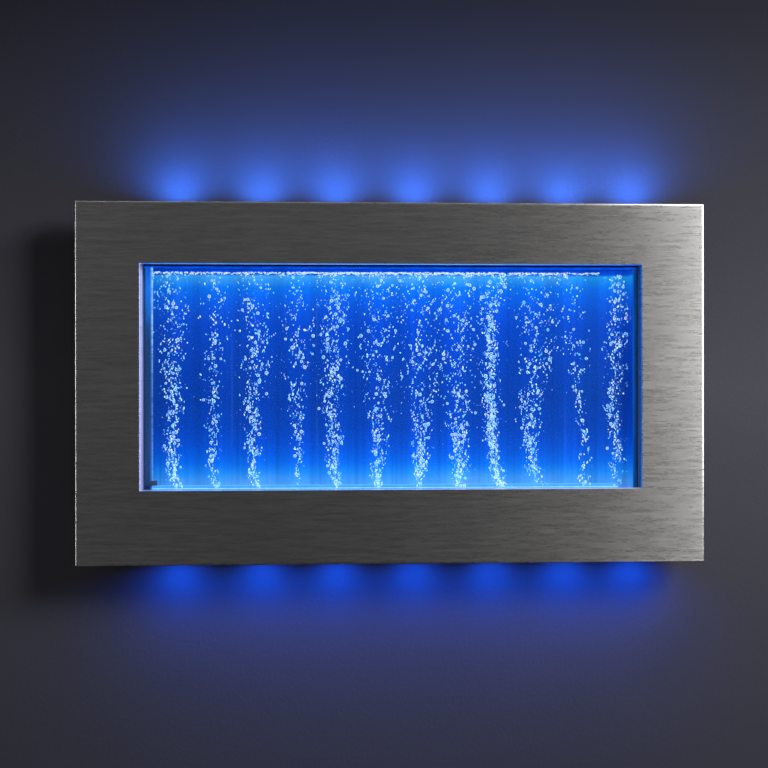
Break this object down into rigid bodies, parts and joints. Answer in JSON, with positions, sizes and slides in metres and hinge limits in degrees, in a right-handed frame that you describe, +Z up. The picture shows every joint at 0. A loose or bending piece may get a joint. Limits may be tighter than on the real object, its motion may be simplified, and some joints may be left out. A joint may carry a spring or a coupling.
{
  "type": "bubble wall panel",
  "caption": "Wall-hung lit water panel: a slim acrylic tank with rising air bubbles in a brushed steel frame, with an air pump and blue lights inside.",
  "frame": {"origin": "middle of the wall cleat's flange, on its back face, which lies on the wall", "axes": "+X to the viewer's right along the panel, +Y into the wall, +Z up"},
  "size_m": [1.016, 0.095, 0.583],
  "materials": {
    "brushed_steel": "satin",
    "zinc_plate": "satin",
    "black_paint": "satin",
    "alloy": "satin",
    "clear_acrylic": "gloss",
    "lit_edge_acrylic": "gloss",
    "black_acrylic": "gloss",
    "blue_backing": "matte",
    "opal_light": "satin",
    "white_board": "satin",
    "black_rubber": "matte",
    "black_plastic": "satin",
    "grey_plastic": "satin",
    "blue_plastic": "satin",
    "brass": "satin",
    "copper": "satin",
    "core_iron": "satin",
    "silicone_hose": "satin",
    "bubble_light": "gloss",
    "water": "gloss"
  },
  "bodies": {
    "wall_rail": {"wall_cleat": "zinc_plate"},
    "panel": {"rear_tray": "black_paint", "hanging_clip": "zinc_plate", "spacer_left": "black_rubber", "spacer_right": "black_rubber", "tank_front_pane": "clear_acrylic", "tank_rear_pane": "clear_acrylic", "backing_panel": "blue_backing", "tank_end_left": "lit_edge_acrylic", "tank_end_right": "lit_edge_acrylic", "tank_floor": "lit_edge_acrylic", "tank_lid": "black_acrylic", "air_manifold": "clear_acrylic", "inlet_elbow": "black_plastic", "check_valve": "grey_plastic", "light_rail_lower": "alloy", "led_strip_lower": "white_board", "diffuser_lower": "opal_light", "light_rail_upper": "alloy", "led_strip_upper": "white_board", "diffuser_upper": "opal_light", "rail_bracket_left": "zinc_plate", "rail_bracket_right": "zinc_plate", "clamp_bracket_left": "zinc_plate", "clamp_bracket_right": "zinc_plate", "halo_rail_upper": "alloy", "halo_lens_upper": "opal_light", "halo_rail_lower": "alloy", "halo_lens_lower": "opal_light", "pump_case": "black_plastic", "pump_cover": "black_plastic", "pump_core": "core_iron", "pump_coil": "copper", "pump_valve_box": "grey_plastic", "pump_diaphragm": "black_rubber", "air_valve_body": "brass", "air_hose_lower": "silicone_hose", "air_hose_upper": "silicone_hose", "led_driver": "alloy", "controller_case": "black_plastic", "power_inlet": "black_plastic", "switch_body": "black_plastic", "drain_tap": "brass", "filler_neck": "black_plastic", "mains_lead": "black_rubber", "light_lead": "black_rubber", "magnet_strip_left": "core_iron", "magnet_strip_right": "core_iron"},
    "front_frame": {"front_frame": "brushed_steel", "frame_stiffener_left": "zinc_plate", "frame_stiffener_right": "zinc_plate", "window_seal": "black_rubber"},
    "pump_arm": {"pump_arm": "grey_plastic", "pump_magnet": "core_iron"},
    "air_knob": {"air_valve_knob": "black_plastic"},
    "mode_button": {"mode_button": "grey_plastic"},
    "switch_rocker": {"switch_rocker": "black_plastic"},
    "drain_lever": {"drain_lever": "blue_plastic"},
    "filler_cap": {"filler_cap": "black_plastic"}
  },
  "joints": [
    {"name": "panel_lift", "type": "slide", "parent": "wall_rail", "child": "panel", "axis": [0, 0, 1], "range_m": [0, 0.03]},
    {"name": "frame_pull", "type": "slide", "parent": "panel", "child": "front_frame", "axis": [0, -1, 0], "range_m": [0, 0.08]},
    {"name": "pump_arm_swing", "type": "hinge", "parent": "panel", "child": "pump_arm", "pos_m": [-0.267, -0.0475, -0.4255], "axis": [0, 1, 0], "range_deg": [-1.5, 1.5], "stiffness_Nm_per_rad": 5, "deforming": ["pump_diaphragm"]},
    {"name": "air_knob_turn", "type": "hinge", "parent": "panel", "child": "air_knob", "pos_m": [-0.3665, -0.0461, -0.456], "axis": [0, 0, 1], "range_deg": [0, 270]},
    {"name": "mode_button_press", "type": "slide", "parent": "panel", "child": "mode_button", "axis": [0, 0, 1], "range_m": [0, 0.0015], "stiffness_N_per_m": 200, "springref_m": -0.001},
    {"name": "switch_rock", "type": "hinge", "parent": "panel", "child": "switch_rocker", "pos_m": [0.285, -0.0461, -0.4583], "axis": [0, 1, 0], "range_deg": [-16, 0]},
    {"name": "drain_lever_turn", "type": "hinge", "parent": "panel", "child": "drain_lever", "pos_m": [0.3855, -0.0646, -0.3958], "axis": [0, -1, 0], "range_deg": [0, 90]},
    {"name": "filler_cap_lift", "type": "slide", "parent": "panel", "child": "filler_cap", "axis": [0, 0, 1], "range_m": [0, 0.04]}
  ]
}
